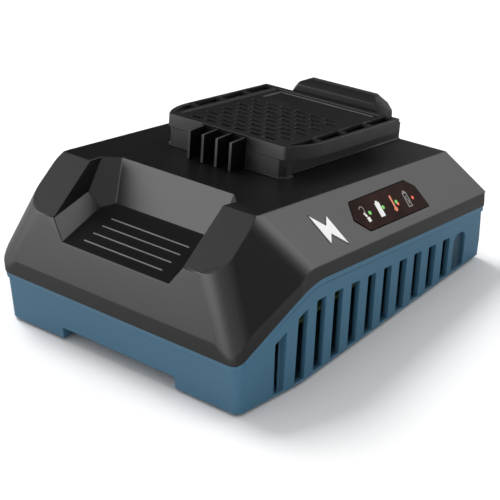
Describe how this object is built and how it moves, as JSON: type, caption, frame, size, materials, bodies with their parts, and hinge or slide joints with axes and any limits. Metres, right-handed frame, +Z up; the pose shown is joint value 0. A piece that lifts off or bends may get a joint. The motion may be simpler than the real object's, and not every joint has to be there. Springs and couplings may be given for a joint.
{
  "type": "power tool battery charger",
  "caption": "Mains charger for slide-on tool batteries: sloped body, tilted dock with rails and terminals, finger scoop, vented sides and a status light window.",
  "frame": {"origin": "centre of the bounding box's foot, on the surface the feet stand on", "axes": "+Z up, +Y to the rear where the mains inlet is, +X to the side with the status lights"},
  "size_m": [0.13, 0.158, 0.0734],
  "materials": {
    "housing_blue": "fine moulded grain",
    "shell_grey": "satin moulded plastic",
    "dock_black": "fine moulded grain",
    "terminal_black": "smooth glass-filled plastic",
    "contact_brass": "tinned spring contact",
    "louvre_grey": "satin moulded plastic",
    "window_gloss": "smoked, polished",
    "guide_clear": "clear light guide",
    "led_white": "moulded chip",
    "board_green": "solder mask",
    "inlay_silver": "brushed foil",
    "ferrite": "sintered ferrite",
    "winding_tape": "polyester tape",
    "bobbin_black": "glass-filled plastic",
    "can_sleeve": "shrink sleeve",
    "sink_aluminium": "extruded",
    "package_black": "moulded epoxy",
    "winding_copper": "enamelled wire",
    "fuse_glass": "ceramic body",
    "film_yellow": "moulded case",
    "rotor_black": "moulded fan blades",
    "pin_plated": "nickel plated",
    "screw_steel": "zinc plated",
    "foot_rubber": "soft moulded rubber"
  },
  "bodies": {
    "charger": {"base_housing": "housing_blue", "upper_shell": "shell_grey", "battery_dock": "dock_black", "dock_plate": "dock_black", "stop_block": "dock_black", "terminal_holder": "terminal_black", "contact_blades": "contact_brass", "scoop_louvre": "louvre_grey", "led_window": "window_gloss", "light_guides": "guide_clear", "status_leds": "led_white", "led_board": "board_green", "side_inlay": "inlay_silver", "main_board": "board_green", "transformer_core": "ferrite", "transformer_winding": "winding_tape", "transformer_bobbin": "bobbin_black", "mains_capacitor": "can_sleeve", "output_capacitors": "can_sleeve", "primary_heat_sink": "sink_aluminium", "secondary_heat_sink": "sink_aluminium", "power_transistors": "package_black", "noise_choke": "winding_copper", "fuse": "fuse_glass", "film_capacitor": "film_yellow", "fan_frame": "bobbin_black", "ac_inlet": "bobbin_black", "inlet_pins": "pin_plated", "housing_screws": "screw_steel", "board_screws": "screw_steel", "foot_front_left": "foot_rubber", "foot_front_right": "foot_rubber", "foot_rear_left": "foot_rubber", "foot_rear_right": "foot_rubber"},
    "rotor": {"fan_rotor": "rotor_black"}
  },
  "joints": [
    {"name": "fan_spin", "type": "hinge", "parent": "charger", "child": "rotor", "pos_m": [-0.0524, 0.002, 0.0217], "axis": [1, 0, 0], "continuous": true}
  ]
}
